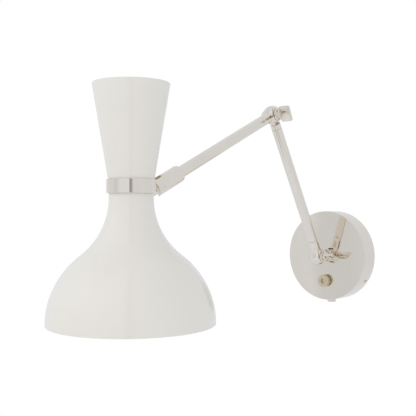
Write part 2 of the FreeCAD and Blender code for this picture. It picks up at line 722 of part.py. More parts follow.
def upper_shade():
    """Straight flaring cone, open at the top, with a turned-in foot on the waist plate."""
    foot = S.waist_plate_thick / 2
    sheet = S.shade_sheet
    outer_foot = S.cone_foot_dia / 2
    outer_top = S.cone_top_dia / 2
    corners = [(17.0, foot), (outer_foot, foot), (outer_top, S.cone_rise), (outer_top - sheet, S.cone_rise),
               (outer_foot - sheet, foot + sheet), (17.0, foot + sheet)]
    cone = turned(corners)
    node("upper_shade", cut(cone, fixing_holes(1.7)[1], *plate_screw_holes(1.6)), WAIST_FRAME)


def bell_arcs(offset):
    """Arcs of the bell from its neck to its rim: (centre, radius, first angle, last angle).

    The outside has offset 0, and a sheet of thickness t has its inside at offset t. Each arc ends
    where the next begins, with the same tangent, so the wall runs smoothly.
    """
    flare = math.radians(float(S.bell_flare_turn))
    shoulder = math.radians(float(S.bell_shoulder_turn))
    hollow = float(S.bell_flare_radius)
    crown = float(S.bell_shoulder_radius)
    side = float(S.bell_side_radius)
    centre = Vector(float(S.bell_neck_dia) / 2 + hollow, 0, -float(S.bell_neck_drop))
    arcs = [(centre, hollow + offset, math.pi, math.pi + flare)]
    centre = centre - Vector(math.cos(flare), 0, math.sin(flare)) * (hollow + crown)
    arcs.append((centre, crown - offset, flare, shoulder))
    centre = centre + Vector(math.cos(shoulder), 0, math.sin(shoulder)) * (crown - side)
    rim = math.asin((-float(S.bell_drop) - centre.z) / (side - offset))
    arcs.append((centre, side - offset, shoulder, rim))
    return arcs


def arc_edge(centre, radius, first, last):
    """Arc in the xz plane between two angles that are measured from x towards z."""
    places = []
    for angle in (first, (first + last) / 2, last):
        places.append(centre + Vector(math.cos(angle), 0, math.sin(angle)) * radius)
    return Part.Arc(*places).toShape()


def lower_shade():
    """Bell with an S-shaped wall, open at the bottom; its arcs need Part's own functions."""
    sheet = float(S.shade_sheet)
    top = -float(S.waist_plate_thick) / 2
    neck = float(S.bell_neck_dia) / 2
    drop = -float(S.bell_neck_drop)
    outer = [arc_edge(*arc) for arc in bell_arcs(0)]
    inner = [arc_edge(*arc) for arc in bell_arcs(sheet)]
    outer_rim = outer[-1].Vertexes[-1].Point
    inner_rim = inner[-1].Vertexes[-1].Point
    lip = Vector(17.0, 0, top)
    lip_under = Vector(17.0, 0, top - sheet)
    neck_top = Vector(neck, 0, top)
    inner_neck = Vector(neck - sheet, 0, top - sheet)
    runs = [(lip, neck_top), (neck_top, Vector(neck, 0, drop)), (outer_rim, inner_rim),
            (Vector(neck - sheet, 0, drop), inner_neck), (inner_neck, lip_under), (lip_under, lip)]
    edges = outer + inner + [Part.makeLine(first, last) for first, last in runs]
    face = Part.Face(Part.Wire(Part.__sortEdges__(edges)))
    solid = face.revolve(Vector(0, 0, 0), Z_AXIS, 360)
    bell = doc.addObject("Part::Feature", "Bell")
    bell.Shape = solid
    node("lower_shade", cut(bell, fixing_holes(1.7)[0], *plate_screw_holes(1.6)), WAIST_FRAME)


def around(angle, thing):
    return moved(thing, Placement(Vector(), Rotation(Z_AXIS, angle)))


def plate_screw_holes(radius):
    place = (S.plate_screw_radius, 0, -6.0)
    return [around(angle, cylinder(radius, 12.0, place)) for angle in PLATE_SCREW_ANGLES]


def waist_plate():
    """Plate inside the waist that both shades and both lampholders are fixed to."""
    thick = S.waist_plate_thick
    plate = cylinder(20.9, thick, (0, 0, -thick.value / 2))
    vents = []
    for angle in (0, 60, 120, 180, 240, 300):
        vents.append(around(angle, cylinder(3.2, 12.0, (13.0, 0, -6.0))))
    bore = cylinder(S.nipple_dia / 2 + 0.02, 12.0, (0, 0, -6.0))
    node("waist_plate", cut(plate, bore, *vents, *plate_screw_holes(1.6)), WAIST_FRAME)
    screws = []
    for angle in PLATE_SCREW_ANGLES:
        shank = cylinder(1.5, 7.0, (S.plate_screw_radius, 0, -4.4))
        head = cylinder(1.9, 1.2, (S.plate_screw_radius, 0, 2.25))
        screws.append(around(angle, fuse(shank, head)))
    node("waist_plate_screws", group(*screws), WAIST_FRAME)


def lamp_pipe():
    """Hollow threaded pipe through the waist plate, held by a nut on each side."""
    radius = S.nipple_dia / 2
    half = float(S.waist_plate_thick) / 2
    node("lamp_pipe", tube(radius, 3.6, 26.0, (0, 0, -13.0)), WAIST_FRAME)
    nuts = []
    for start in (half + 0.02, -half - 2.52):
        nuts.append(cut(hexagon(14.0, 2.5, (0, 0, start)),
                        cylinder(radius + 0.02, 8.0, (0, 0, start - 2))))
    node("lamp_pipe_nuts", group(*nuts), WAIST_FRAME)


def lampholder(side, upward, outer, screw_bore, depth):
    """Lampholder: insulating cup, threaded metal shell, contact and the disc that carries it."""
    cup_start = 5.0
    floor = 8.5
    wall = 1.2
    shell_outer = screw_bore + 1.0
    cup = turned([(S.nipple_dia / 2 + 0.02, cup_start), (outer, cup_start), (outer, cup_start + depth),
                  (shell_outer + 0.1, cup_start + depth), (shell_outer + 0.1, cup_start + floor),
                  (S.nipple_dia / 2 + 0.02, cup_start + floor)])
    cup = rounded(cup, 1.2, lambda edge: circle_at(cup_start, outer)(edge)
                  or circle_at(cup_start + depth, outer)(edge))
    disc_start = cup_start + floor + 0.1
    disc = tube(shell_outer, 2.0, 2.0, (0, 0, disc_start))
    shell_start = disc_start + 2.1
    shell_length = cup_start + depth - 3.0 - shell_start
    shell = cut(cylinder(shell_outer, shell_length, (0, 0, shell_start)),
                cylinder(screw_bore, shell_length, (0, 0, shell_start + 0.8)),
                cylinder(screw_bore * 0.55, 4.0, (0, 0, shell_start - 1.0)))
    contact = fuse(cylinder(screw_bore * 0.3, 0.8, (0, 0, shell_start - 0.05)),
                   cylinder(1.6, 3.4, (0, 0, disc_start - 1.0)))
    turn = Rotation() if upward else Rotation(X_AXIS, 180)
    frame = WAIST_FRAME.multiply(Placement(Vector(), turn))
    node(side + "_lampholder_cup", cup, frame)
    node(side + "_lampholder_disc", disc, frame)
    node(side + "_lampholder_shell", shell, frame)
    node(side + "_lampholder_contact", contact, frame)


canopy_shell()
wall_plate()
ground_screw()
canopy_side_screws()
canopy_thumb_screw()
switch()
stem()
lower_arm()
upper_arm()
clamping_screw("base_clamping_screw", PADDLE_TURNS["base"], base_hinge)
clamping_screw("elbow_clamping_screw", PADDLE_TURNS["elbow"], elbow_hinge)
sleeve()
shade_tongue()
shade_band()
shade_fixing_screws()
upper_shade()
lower_shade()
waist_plate()
lamp_pipe()
lampholder("upper", True, 11.0, 6.3, 44.0)
lampholder("lower", False, 17.0, 13.4, 50.0)

doc.recompute()
failed = [thing for thing in doc.Objects if {"Invalid", "Error"} & set(thing.State)]
for thing in failed:
    print(thing.Name, thing.Label, thing.getStatusString(), [user.Label for user in thing.InList])
if failed:
    raise RuntimeError("%d objects did not recompute" % len(failed))
os.makedirs("parts", exist_ok=True)
for thing in nodes:
    shape = thing.Shape
    if shape.isNull() or not shape.isValid() or not shape.Solids:
        raise RuntimeError("%s has no valid solid" % thing.Label)
    shape.exportStep("parts/%s.step" % thing.Label)
    print("%-28s %d solid(s) %10.1f mm3" % (thing.Label, len(shape.Solids), shape.Volume))
print("%d nodes" % len(nodes))
for name, place in (("base hinge", base_hinge), ("elbow hinge", elbow_hinge), ("shade hinge", shade_hinge),
                    ("waist", waist)):
    print("%-12s %8.3f %8.3f %8.3f" % (name, place.x, place.y, place.z))
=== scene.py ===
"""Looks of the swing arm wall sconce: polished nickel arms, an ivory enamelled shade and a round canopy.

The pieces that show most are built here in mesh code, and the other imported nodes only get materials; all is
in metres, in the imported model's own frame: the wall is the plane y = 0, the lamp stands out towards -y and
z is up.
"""
import json
import math

import bmesh
import bpy
from mathutils import Matrix, Vector


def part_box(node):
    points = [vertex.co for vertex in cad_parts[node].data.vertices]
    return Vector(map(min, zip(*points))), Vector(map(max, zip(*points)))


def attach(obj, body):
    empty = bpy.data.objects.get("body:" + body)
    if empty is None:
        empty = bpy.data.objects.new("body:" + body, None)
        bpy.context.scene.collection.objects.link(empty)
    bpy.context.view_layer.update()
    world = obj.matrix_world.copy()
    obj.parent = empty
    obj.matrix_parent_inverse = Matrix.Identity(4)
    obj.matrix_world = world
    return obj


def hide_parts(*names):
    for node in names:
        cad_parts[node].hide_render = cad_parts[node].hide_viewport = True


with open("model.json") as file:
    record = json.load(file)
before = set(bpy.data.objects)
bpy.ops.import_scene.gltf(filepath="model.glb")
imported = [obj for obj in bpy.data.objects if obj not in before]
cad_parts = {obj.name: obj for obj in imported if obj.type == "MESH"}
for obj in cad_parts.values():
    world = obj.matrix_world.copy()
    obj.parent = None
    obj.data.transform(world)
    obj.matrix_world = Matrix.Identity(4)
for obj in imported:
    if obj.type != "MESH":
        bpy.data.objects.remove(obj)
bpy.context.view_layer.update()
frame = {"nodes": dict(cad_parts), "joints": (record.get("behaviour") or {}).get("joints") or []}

MM = 0.001
X = Vector((1, 0, 0))
Y = Vector((0, 1, 0))
Z = Vector((0, 0, 1))
TURN = 2 * math.pi
ROUND = 128

scene = bpy.context.scene
joints = {joint["name"]: joint for joint in frame["joints"]}
base_hinge = Vector(joints["lower_arm_hinge"]["pos_m"])
elbow_hinge = Vector(joints["elbow_hinge"]["pos_m"])
shade_hinge = Vector(joints["shade_tilt"]["pos_m"])


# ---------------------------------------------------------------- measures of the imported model

def size_of(node):
    """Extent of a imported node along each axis."""
    low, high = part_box(node)
    return high - low


def centre_of(node):
    """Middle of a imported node's box."""
    low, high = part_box(node)
    return (low + high) / 2


def place(origin, along, across=X):
    """Matrix of a local frame whose z runs along one direction and whose x is the across direction."""
    z = along.normalized()
    x = (across - z * across.dot(z)).normalized()
    y = z.cross(x)
    matrix = Matrix((x, y, z)).transposed().to_4x4()
    matrix.translation = origin
    return matrix


WALL = place(Vector((0, 0, 0)), Vector((0, -1, 0)))
STEM = place(base_hinge, Vector((0, 1, 0)))
LOWER_ARM = place(base_hinge, elbow_hinge - base_hinge)
LOWER_TOP = place(elbow_hinge, base_hinge - elbow_hinge)
UPPER_ARM = place(elbow_hinge, shade_hinge - elbow_hinge)
SLEEVE = place(shade_hinge, shade_hinge - elbow_hinge)
WAIST = Matrix.Translation(centre_of("waist_plate"))

# Measures that several pieces share, in millimetres
SHEET = 1.2
ARM_RADIUS = size_of("lower_arm_tube").x / 2 / MM
TUBE_BORE = 5.0
PLUG_RADIUS = 4.97
NECK_HALF = 5.2
COLLAR_START = 12.2
SLEEVE_SCREW = 24.0
NECK_END = 24.9
PLUG_END = 37.0
HINGE_BORE = 2.55
TONGUE_HALF = 3.5
WIRE_BORE = 3.0
BAND_SCREW_RISE = 4.6
BAND_SCREW_RISES = (-BAND_SCREW_RISE, BAND_SCREW_RISE)
BAND_SCREW_BORE = 1.7


# ---------------------------------------------------------------- mesh tools

def smoothed(mesh, angle=32):
    """Shade a mesh smooth, but keep the edges sharper than an angle in degrees."""
    mesh.shade_smooth()
    mesh.set_sharp_from_angle(angle=math.radians(angle))


def finished(name, bm, matrix=None, sharp=32):
    """A linked object from a bmesh that was made in millimetres."""
    bmesh.ops.recalc_face_normals(bm, faces=bm.faces)
    mesh = bpy.data.meshes.new(name)
    bm.to_mesh(mesh)
    bm.free()
    mesh.transform(Matrix.Scale(MM, 4))
    if matrix is not None:
        mesh.transform(matrix)
    smoothed(mesh, sharp)
    thing = bpy.data.objects.new(name, mesh)
    scene.collection.objects.link(thing)
    return thing


def softened(corners, steps=5):
    """Round off the corners of a closed (radius, height) outline; a third number is the fillet radius."""
    points = []
    count = len(corners)
    for index, corner in enumerate(corners):
        here = Vector(corner[:2])
        fillet = corner[2] if len(corner) > 2 else 0
        if not fillet:
            points.append(here)
            continue
        before = Vector(corners[index - 1][:2]) - here
        after = Vector(corners[(index + 1) % count][:2]) - here
        half = before.angle(after) / 2
        reach = min(fillet / math.tan(half), before.length * 0.49, after.length * 0.49)
        start = here + before.normalized() * reach
        end = here + after.normalized() * reach
        for step in range(steps + 1):
            t = step / steps
            points.append(start.lerp(here, t).lerp(here.lerp(end, t), t))
    return points


def turned(name, corners, matrix=None, around=ROUND, flutes=0, flute_depth=0.0, fluted=None, sharp=32):
    """A body turned about local z from a closed outline; flutes are cut where the test says so."""
    points = softened(corners)
    bm = bmesh.new()
    rings = []
    for point in points:
        if point.x < 1e-6:
            rings.append([bm.verts.new((0, 0, point.y))])
            continue
        ring = []
        for step in range(around):
            angle = TURN * step / around
            radius = point.x
            if flutes and fluted(point):
                radius -= flute_depth * (0.5 + 0.5 * math.cos(flutes * angle)) ** 2
            ring.append(bm.verts.new((radius * math.cos(angle), radius * math.sin(angle), point.y)))
        rings.append(ring)
    for index, ring in enumerate(rings):
        other = rings[(index + 1) % len(rings)]
        if len(ring) == 1 and len(other) == 1:
            continue
        for step in range(around):
            after = (step + 1) % around
            corners_here = [ring[step % len(ring)], ring[after % len(ring)],
                            other[after % len(other)], other[step % len(other)]]
            corners_here = list(dict.fromkeys(corners_here))
            bm.faces.new(corners_here)
    return finished(name, bm, matrix, sharp)


def slab(name, outline, low, high, matrix=None):
    """A flat piece between two heights along local x, from a closed (y, z) outline."""
    bm = bmesh.new()
    ends = []
    for x in (low, high):
        ends.append([bm.verts.new((x, y, z)) for y, z in outline])
    bm.faces.new(ends[0])
    bm.faces.new(ends[1])
    count = len(outline)
    for index in range(count):
        after = (index + 1) % count
        bm.faces.new((ends[0][index], ends[0][after], ends[1][after], ends[1][index]))
    return finished(name, bm, matrix)


def arc(centre, radius, first, last, steps):
    """Points of an arc between two angles in degrees."""
    points = []
    for step in range(steps + 1):
        angle = math.radians(first + (last - first) * step / steps)
        points.append((centre[0] + radius * math.cos(angle), centre[1] + radius * math.sin(angle)))
    return points


def rod(radius, low, high, matrix, along=Z, around=48):
    """A plain cutter that runs along a local axis through the origin of a local frame."""
    turn = Z.rotation_difference(along).to_matrix().to_4x4()
    outline = [(0, low), (radius, low), (radius, high), (0, high)]
    return turned("cutter", outline, matrix @ turn, around)


def shifted(matrix, x=0.0, y=0.0, z=0.0):
    """The same local frame, moved along its own axes by millimetres."""
    return matrix @ Matrix.Translation(Vector((x, y, z)) * MM)


def turned_by(matrix, degrees, axis):
    """The same local frame, turned about one of its own axes."""
    return matrix @ Matrix.Rotation(math.radians(degrees), 4, axis)


def settle(thing):
    """Replace an object's mesh by the result of its modifiers."""
    graph = bpy.context.evaluated_depsgraph_get()
    mesh = bpy.data.meshes.new_from_object(thing.evaluated_get(graph))
    thing.modifiers.clear()
    old = thing.data
    thing.data = mesh
    bpy.data.meshes.remove(old)


def carve(thing, operation, *tools):
    """Cut tools out of an object, or join them to it, and remove the tools."""
    for tool in tools:
        change = thing.modifiers.new("Carve", "BOOLEAN")
        change.operation = operation
        change.solver = "EXACT"
        change.object = tool
    settle(thing)
    for tool in tools:
        mesh = tool.data
        bpy.data.objects.remove(tool)
        bpy.data.meshes.remove(mesh)


def bevelled(thing, width, segments=3, angle=32):
    """Round every sharp edge of an object by a width in millimetres."""
    bevel = thing.modifiers.new("Bevel", "BEVEL")
    bevel.width = width * MM
    bevel.segments = segments
    bevel.limit_method = "ANGLE"
    bevel.angle_limit = math.radians(angle)
    bevel.use_clamp_overlap = True
    settle(thing)
    smoothed(thing.data, angle)


# ---------------------------------------------------------------- materials

class Shader:
    """A node material about one Principled shader."""

    def __init__(self, name, **settings):
        self.material = bpy.data.materials.new(name)
        self.material.use_nodes = True
        self.tree = self.material.node_tree
        self.shader = self.tree.nodes["Principled BSDF"]
        for socket, value in settings.items():
            self.shader.inputs[socket.replace("_", " ")].default_value = value
        self.coordinates = self.add("ShaderNodeTexCoord").outputs["Object"]

    def add(self, kind, **settings):
        """A new node with its properties set."""
        node = self.tree.nodes.new(kind)
        for key, value in settings.items():
            setattr(node, key, value)
        return node

    def link(self, output, target):
        self.tree.links.new(output, target)

    def noise(self, scale, stretch=(1, 1, 1), detail=3.0, turn=(0, 0, 0)):
        """Noise over the object's own coordinates, in repeats per metre."""
        mapping = self.add("ShaderNodeMapping")
        mapping.inputs["Scale"].default_value = stretch
        mapping.inputs["Rotation"].default_value = turn
        texture = self.add("ShaderNodeTexNoise")
        texture.inputs["Scale"].default_value = scale
        texture.inputs["Detail"].default_value = detail
        self.link(self.coordinates, mapping.inputs["Vector"])
        self.link(mapping.outputs["Vector"], texture.inputs["Vector"])
        return texture.outputs["Fac"]

    def ramp(self, value, stops):
        """Colours along a value: stops are (position, colour)."""
        node = self.add("ShaderNodeValToRGB")
        elements = node.color_ramp.elements
        while len(elements) < len(stops):
            elements.new(0.5)
        for element, (position, colour) in zip(elements, stops):
            element.position = position
            element.color = (*colour, 1.0)
        self.link(value, node.inputs["Fac"])
        return node.outputs["Color"]

    def spread(self, value, low, high):
        """Map a 0.3 to 0.7 noise value to a range."""
        node = self.add("ShaderNodeMapRange")
        for socket, number in (("From Min", 0.3), ("From Max", 0.7), ("To Min", low), ("To Max", high)):
            node.inputs[socket].default_value = number
        self.link(value, node.inputs["Value"])
        return node.outputs["Result"]

    def bump(self, height, strength, distance):
        """Raise the surface by a height, over a distance in metres."""
        node = self.add("ShaderNodeBump")
        node.inputs["Strength"].default_value = strength
        node.inputs["Distance"].default_value = distance
        self.link(height, node.inputs["Height"])
        self.link(node.outputs["Normal"], self.shader.inputs["Normal"])


def metal(name, dark, light, rough, grain=(1, 1, 1), turn=(0, 0, 0), bump=0.02):
    """Metal with faint cloudy tone, uneven polish and fine marks along its grain."""
    look = Shader(name, Metallic=1.0)
    tone = look.ramp(look.noise(38.0, detail=4.0), [(0.3, dark), (0.7, light)])
    look.link(tone, look.shader.inputs["Base Color"])
    polish = look.noise(160.0, grain, detail=5.0, turn=turn)
    look.link(look.spread(polish, *rough), look.shader.inputs["Roughness"])
    look.bump(look.noise(900.0, grain, detail=2.0, turn=turn), bump, 0.00012)
    return look.material


def painted_shadow_metal(name, dark, light, rough):
    """Brownish half-matt metal that paints the warm shadow inside hollows."""
    look = Shader(name, Metallic=0.1)
    look.link(look.ramp(look.noise(120.0), [(0.3, dark), (0.7, light)]), look.shader.inputs["Base Color"])
    look.link(look.spread(look.noise(300.0), *rough), look.shader.inputs["Roughness"])
    look.bump(look.noise(1500.0), 0.1, 0.0001)
    return look.material


def plastic(name, dark, light, rough, bump=0.06):
    """Moulded plastic with a slight tone drift and a fine grain."""
    look = Shader(name)
    look.link(look.ramp(look.noise(60.0), [(0.3, dark), (0.7, light)]), look.shader.inputs["Base Color"])
    look.link(look.spread(look.noise(240.0), *rough), look.shader.inputs["Roughness"])
    look.bump(look.noise(2200.0), bump, 0.0001)
    return look.material


def enamel(name, dark, light, rough, coat):
    """Sprayed enamel: slight tone drift, a faint orange peel and a clear glossy skin."""
    look = Shader(name, IOR=1.5, Coat_Weight=coat, Coat_Roughness=0.06)
    tone = look.ramp(look.noise(14.0, detail=2.0), [(0.3, dark), (0.7, light)])
    look.link(tone, look.shader.inputs["Base Color"])
    look.link(look.spread(look.noise(90.0, detail=4.0), *rough), look.shader.inputs["Roughness"])
    look.bump(look.noise(420.0, detail=1.0), 0.035, 0.0002)
    return look.material


NICKEL = metal("polished_nickel", (0.825, 0.771, 0.688), (0.855, 0.799, 0.712), (0.06, 0.11))
ARM_NICKEL = metal("drawn_nickel", (0.825, 0.771, 0.688), (0.855, 0.799, 0.712), (0.09, 0.15), bump=0.01)
# Browner, rougher nickel for the switch knob: a painted brown reflection of the arm in its face
KNOB_PAINTED_REFLECTION = metal("nickel_with_painted_reflection", (0.66, 0.57, 0.41), (0.70, 0.61, 0.45), (0.3, 0.4))
FACE_NICKEL = metal("spun_nickel", (0.828, 0.774, 0.690), (0.850, 0.795, 0.708), (0.035, 0.06), bump=0.008)
ZINC = metal("zinc_plated_steel", (0.50, 0.51, 0.50), (0.62, 0.63, 0.61), (0.28, 0.42), bump=0.15)
DARK_STEEL = metal("oiled_steel", (0.10, 0.10, 0.105), (0.17, 0.17, 0.175), (0.3, 0.45), bump=0.1)
# Brownish painted shadow for the faces in slots, pockets, bores and gaps
PAINTED_HOLLOW_SHADOW = painted_shadow_metal("painted_hollow_shadow", (0.72, 0.62, 0.43), (0.78, 0.68, 0.49), (0.4, 0.55))
BRASS = metal("turned_brass", (0.62, 0.44, 0.19), (0.72, 0.53, 0.25), (0.2, 0.32), bump=0.08)
ENAMEL = enamel("ivory_enamel", (0.825, 0.786, 0.698), (0.845, 0.806, 0.718), (0.30, 0.38), 1.0)
LINING = enamel("white_lining", (0.83, 0.82, 0.78), (0.86, 0.85, 0.81), (0.42, 0.52), 0.25)
WHITE_PLASTIC = plastic("white_moulding", (0.78, 0.76, 0.71), (0.82, 0.80, 0.75), (0.22, 0.3))
BLACK_PLASTIC = plastic("black_moulding", (0.018, 0.018, 0.019), (0.03, 0.03, 0.032), (0.45, 0.6))
NYLON = plastic("nylon", (0.70, 0.67, 0.58), (0.76, 0.73, 0.64), (0.45, 0.55))


def dress(thing, *materials):
    """Give an object these materials, in this order, and no others."""
    thing.data.materials.clear()
    for material in materials:
        thing.data.materials.append(material)


def stand_for(thing, body, slot, *nodes):
    """Declare where a piece rides and which CAD nodes it replaces; the finish slot is not used."""
    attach(thing, body)
    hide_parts(*nodes)


# ---------------------------------------------------------------- shade

FLANGE_BORE = 17.0


def shade_screw_holes(rise):
    """Cutters for a shade half: one for its band screw and three for the waist plate's screws."""
    holes = [rod(BAND_SCREW_BORE, 14.0, 30.0, shifted(WAIST, z=rise), Y)]
    for angle in (30, 150, 270):
        holes.append(rod(1.6, -6.0, 6.0, shifted(turned_by(WAIST, angle, "Z"), x=19.0)))
    return holes


def upper_cone():
    """Straight cone with a hemmed rim and a turned-in foot."""
    low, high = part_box("upper_shade")
    top = (high.z - WAIST.translation.z) / MM
    rim = (high.x - low.x) / 2 / MM
    foot = (low.z - WAIST.translation.z) / MM
    foot_radius = 22.2
    outline = [(FLANGE_BORE, foot), (foot_radius, foot, 0.6), (rim, top, 0.55), (rim - SHEET, top, 0.55),
               (foot_radius - SHEET, foot + SHEET, 0.5), (FLANGE_BORE, foot + SHEET)]
    cone = turned("upper_cone", outline, WAIST, around=192)
    carve(cone, "DIFFERENCE", *shade_screw_holes(BAND_SCREW_RISE))
    lined(cone)
    stand_for(cone, "shade", "ivory_enamel", "upper_shade")


def bell_curve(offset, top):
    """Outline of the bell from neck to rim, at a distance inside its outer face."""
    flare, shoulder = 52.6, 21.0
    hollow, crown, side = 71.8, 88.3, 77.5
    neck, neck_drop, drop = 22.5, 11.9, 137.25
    centre = Vector((neck + hollow, -neck_drop))
    points = [Vector((neck - offset, top))]
    points += [Vector(p) for p in arc(centre, hollow + offset, 180, 180 + flare, 36)]
    way = Vector((math.cos(math.radians(flare)), math.sin(math.radians(flare))))
    centre = centre - way * (hollow + crown)
    points += [Vector(p) for p in arc(centre, crown - offset, flare, shoulder, 30)[1:]]
    way = Vector((math.cos(math.radians(shoulder)), math.sin(math.radians(shoulder))))
    centre = centre + way * (crown - side)
    rim = math.degrees(math.asin((-drop - centre.y) / (side - offset)))
    points += [Vector(p) for p in arc(centre, side - offset, shoulder, rim, 30)[1:]]
    return points


def lower_bell():
    """Bell with an S-shaped wall and a rounded lower rim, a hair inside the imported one."""
    high = (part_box("lower_shade")[1].z - WAIST.translation.z) / MM
    hair, rim_fillet = 0.04, 0.55
    outside = bell_curve(hair, high)
    inside = bell_curve(SHEET, high - SHEET)
    outline = [(FLANGE_BORE, high)] + [(p.x, p.y) for p in outside[:-1]]
    outline += [(*outside[-1], rim_fillet), (*inside[-1], rim_fillet)]
    outline += [(p.x, p.y) for p in reversed(inside[:-1])] + [(FLANGE_BORE, high - SHEET)]
    bell = turned("lower_bell", outline, WAIST, around=224)
    carve(bell, "DIFFERENCE", *shade_screw_holes(-BAND_SCREW_RISE))
    lined(bell)
    stand_for(bell, "shade", "ivory_enamel", "lower_shade")


def lined(shade):
    """Give the faces that look inwards the white lining."""
    dress(shade, ENAMEL, LINING)
    centre = WAIST.translation
    for face in shade.data.polygons:
        outward = Vector((face.center.x - centre.x, face.center.y - centre.y, 0)).normalized()
        if face.normal.dot(outward) < -0.05:
            face.material_index = 1
    smoothed(shade.data)


def waist_band():
    """Polished ring with softly rounded edges around the meeting edges of the two shades."""
    low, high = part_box("shade_band")
    half = (high.z - low.z) / 2 / MM
    outer = (high.x - low.x) / 2 / MM
    inner = 23.3
    outline = [(inner, -half, 0.2), (outer, -half, 0.6), (outer, half, 0.6), (inner, half, 0.2)]
    band = turned("waist_band", outline, WAIST, around=192)
    holes = [rod(1.6, 14.0, 30.0, shifted(WAIST, z=rise), Y) for rise in BAND_SCREW_RISES]
    carve(band, "DIFFERENCE", *holes)
    dress(band, NICKEL)
    stand_for(band, "shade", "polished_nickel", "shade_band")


def shade_link():
    """Flat link from the band to the hinge pin, with a round eye and eased edges."""
    low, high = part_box("shade_tongue")
    half = (high.x - low.x) / 2 / MM
    offset = (shade_hinge.y - WAIST.translation.y) / MM
    eye, foot_half = 5.5, 6.8
    start, step = 24.0, 28.75
    outline = [(start, -foot_half), (step, -foot_half), (step, -eye)]
    outline += arc((offset, 0), eye, -90, 90, 24)
    outline += [(step, eye), (step, foot_half), (start, foot_half)]
    link = slab("shade_link", outline, -half, half, WAIST)
    band_space = rod(24.75, -12, 12, WAIST, around=192)
    carve(link, "DIFFERENCE", band_space, rod(2.05, -10, 10, shifted(WAIST, y=offset), X),
          *[rod(1.52, 14, 31, shifted(WAIST, z=rise), Y) for rise in BAND_SCREW_RISES])
    bevelled(link, 0.35, angle=40)
    dress(link, NICKEL)
    stand_for(link, "shade", "polished_nickel", "shade_tongue")


# ---------------------------------------------------------------- lampholders

CUP_START = 5.0


def threaded_shell(name, node, frame_here, bore, start, length, pitch):
    """Rolled metal shell of a lampholder: inner and outer walls follow one round helical thread."""
    depth = 0.4
    wall = 0.3
    around = 72
    rows = int(length / pitch * 12)
    bm = bmesh.new()
    rings = []
    for layer, sign in ((bore + depth, 1), (bore + depth + wall, -1)):
        column = range(rows + 1) if sign > 0 else range(rows, -1, -1)
        for row in column:
            height = start + length * row / rows
            fade = min(1.0, row / 8, (rows - row) / 8)
            ring = []
            for step in range(around):
                angle = TURN * step / around
                wave = math.cos(TURN * height / pitch - angle)
                radius = layer - depth * wave * fade
                ring.append(bm.verts.new((radius * math.cos(angle), radius * math.sin(angle), height)))
            rings.append(ring)
    for index, ring in enumerate(rings):
        other = rings[(index + 1) % len(rings)]
        for step in range(around):
            after = (step + 1) % around
            bm.faces.new((ring[step], ring[after], other[after], other[step]))
    shell = finished(name, bm, frame_here, sharp=60)
    floor_hole = bore * 0.55
    floor = turned(name + "_floor", [(floor_hole, start), (bore + depth, start), (bore + depth, start + 0.6),
                                     (floor_hole, start + 0.6)], frame_here, around=72)
    carve(shell, "UNION", floor)
    dress(shell, BRASS)
    stand_for(shell, "shade", "brass", node)


def lampholder_cup(name, node, frame_here, outer, depth, opening):
    """Moulded cup with grip ribs around its open half."""
    bore, start, floor = 5.02, CUP_START, 8.5
    outline = [(bore, start), (outer, start, 1.2), (outer, start + depth * 0.3, 0.4),
               (outer - 0.5, start + depth * 0.3 + 1.2, 0.4), (outer - 0.5, start + depth * 0.9, 0.3),
               (outer, start + depth * 0.9 + 1.0, 0.3), (outer, start + depth, 0.9),
               (opening, start + depth, 0.3), (opening, start + floor), (bore, start + floor)]
    low_rib = start + depth * 0.3 + 1.0
    high_rib = start + depth * 0.9 + 0.2

    def on_grip(point):
        return point.x > outer - 0.7 and low_rib < point.y < high_rib

    cup = turned(name, outline, frame_here, around=180, flutes=30, flute_depth=0.35, fluted=on_grip, sharp=40)
    dress(cup, WHITE_PLASTIC)
    stand_for(cup, "shade", "white_plastic", node)


def lampholders():
    """A small holder in the cone and a large one in the bell, back to back."""
    for side, flip, outer, bore, depth, pitch in (("upper", 0, 11.0, 6.3, 44.0, 1.8),
                                                  ("lower", 180, 17.0, 13.4, 50.0, 3.6)):
        here = turned_by(WAIST, flip, "X")
        lampholder_cup(side + "_holder_cup", side + "_lampholder_cup", here, outer, depth, bore + 1.1)
        shell_start, shell_end = 15.7, CUP_START + depth - 3.0
        threaded_shell(side + "_holder_shell", side + "_lampholder_shell", here, bore, shell_start,
                       shell_end - shell_start, pitch)


# ---------------------------------------------------------------- arms

def tube_between(name, node, body, here, start, end, groove=None):
    """Drawn tube with eased ends, and a groove for the sleeve's screw where one is asked for."""
    outer, floor_radius = ARM_RADIUS, ARM_RADIUS - 0.7
    half_groove = 1.8
    outline = [(TUBE_BORE, start, 0.15), (outer, start, 0.3)]
    if groove:
        outline += [(outer, groove - half_groove), (floor_radius, groove - half_groove),
                    (floor_radius, groove + half_groove), (outer, groove + half_groove)]
    outline += [(outer, end, 0.3), (TUBE_BORE, end, 0.15)]
    tube = turned(name, outline, here, around=96)
    dress(tube, ARM_NICKEL)
    stand_for(tube, body, "polished_nickel", node)


def heading(angle):
    """Unit (y, z) vector of a knuckle at an angle about x from local z."""
    turn = math.radians(angle)
    return Vector((-math.sin(turn), math.cos(turn)))


def neck_sweep(first, last, half, here):
    """The space that the other arm's neck sweeps through a ball between two angles."""
    side, reach = NECK_HALF + 0.4, 22.8
    near = heading(first - 90) * side
    far = heading(last + 90) * side
    outline = [near, near + heading(first) * reach, heading((first + last) / 2) * reach * 1.5,
               far + heading(last) * reach, far]
    return slab("cutter", [tuple(point) for point in outline], -half, half, here)


def paint_hollow_shadow(thing, here, inside, polish=NICKEL):
    """Polish a piece, and give the faces inside it the brownish painted shadow."""
    dress(thing, polish, PAINTED_HOLLOW_SHADOW)
    back = here.inverted()
    for face in thing.data.polygons:
        if inside((back @ face.center) / MM):
            face.material_index = 1


